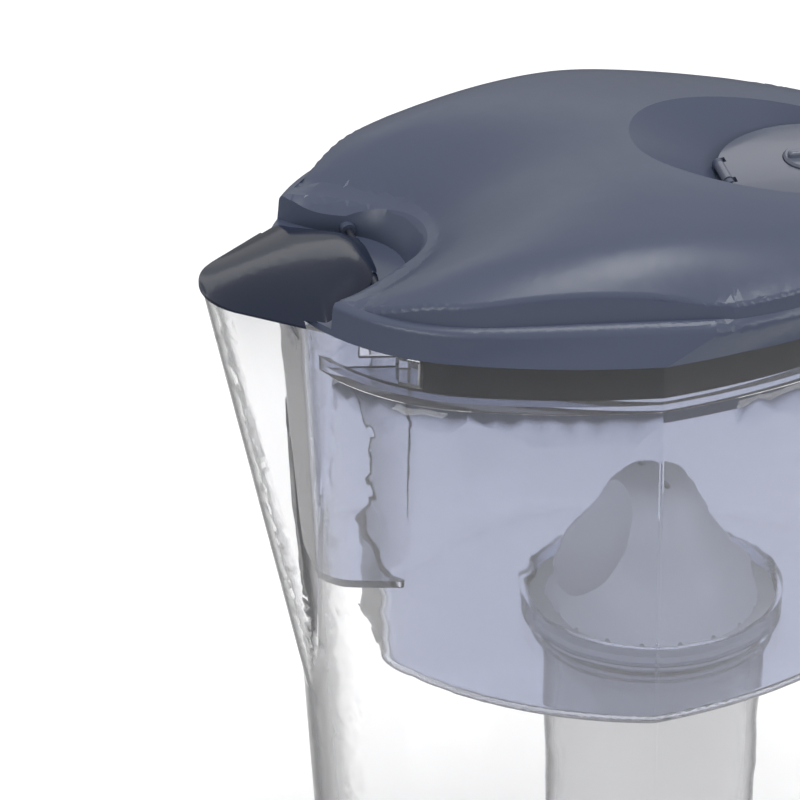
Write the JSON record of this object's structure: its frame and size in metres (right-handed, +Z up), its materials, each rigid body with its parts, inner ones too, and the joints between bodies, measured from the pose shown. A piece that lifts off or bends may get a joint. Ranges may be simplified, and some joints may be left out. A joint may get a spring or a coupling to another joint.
{
  "type": "water filter pitcher",
  "caption": "Clear water jug with a beak and handle, a hanging funnel with a filter cartridge, and a domed lid with a spout flap and a fill flap.",
  "frame": {"origin": "centre of the base's rest plane under the cartridge axis", "axes": "+Z up, -X to the beak, +X to the handle"},
  "size_m": [0.2796, 0.154, 0.283],
  "materials": {
    "clear_plastic": "clear, polished",
    "tinted_plastic": "clear, pale blue tint",
    "grip_rubber": "soft matt",
    "seal_rubber": "matt",
    "cup_plastic": "satin",
    "cap_plastic": "satin",
    "mesh_plastic": "fine sieve",
    "granules": "black and amber grains",
    "felt": "felt",
    "lid_plastic": "satin slate blue",
    "frame_plastic": "dark",
    "catch_plastic": "clear",
    "flap_plastic": "glossy navy",
    "fill_flap_plastic": "glossy grey-blue",
    "pin_plastic": "satin",
    "dial_plastic": "glossy"
  },
  "bodies": {
    "jug": {"jug_body": "clear_plastic", "handle_grip": "grip_rubber"},
    "funnel": {"funnel": "tinted_plastic"},
    "cartridge": {"cartridge_cup": "cup_plastic", "cartridge_cap": "cap_plastic", "seal_ring": "seal_rubber", "upper_mesh": "mesh_plastic", "filter_granules": "granules", "felt_pad": "felt", "lower_mesh": "mesh_plastic"},
    "lid": {"lid_shell": "lid_plastic", "lid_frame": "frame_plastic", "lid_catches": "catch_plastic", "fill_flap_pin": "pin_plastic"},
    "spout_flap": {"spout_flap": "flap_plastic", "spout_flap_pins": "pin_plastic"},
    "fill_flap": {"fill_flap": "fill_flap_plastic"},
    "dial": {"dial": "dial_plastic", "dial_clip": "pin_plastic"}
  },
  "joints": [
    {"name": "funnel_lift", "type": "slide", "parent": "jug", "child": "funnel", "axis": [0, 0, 1], "range_m": [0, 0.21]},
    {"name": "cartridge_lift", "type": "slide", "parent": "funnel", "child": "cartridge", "axis": [0, 0, 1], "range_m": [0, 0.09]},
    {"name": "lid_lift", "type": "slide", "parent": "funnel", "child": "lid", "axis": [0, 0, 1], "range_m": [0, 0.12]},
    {"name": "spout_flap_hinge", "type": "hinge", "parent": "lid", "child": "spout_flap", "pos_m": [-0.0895, 0, 0.251], "axis": [0, 1, 0], "range_deg": [0, 40]},
    {"name": "fill_flap_hinge", "type": "hinge", "parent": "lid", "child": "fill_flap", "pos_m": [0.0206, 0, 0.2663], "axis": [0, -1, 0], "range_deg": [0, 80]},
    {"name": "dial_turn", "type": "hinge", "parent": "fill_flap", "child": "dial", "pos_m": [0.0475, 0, 0.2675], "axis": [0, 0, 1], "continuous": true}
  ]
}
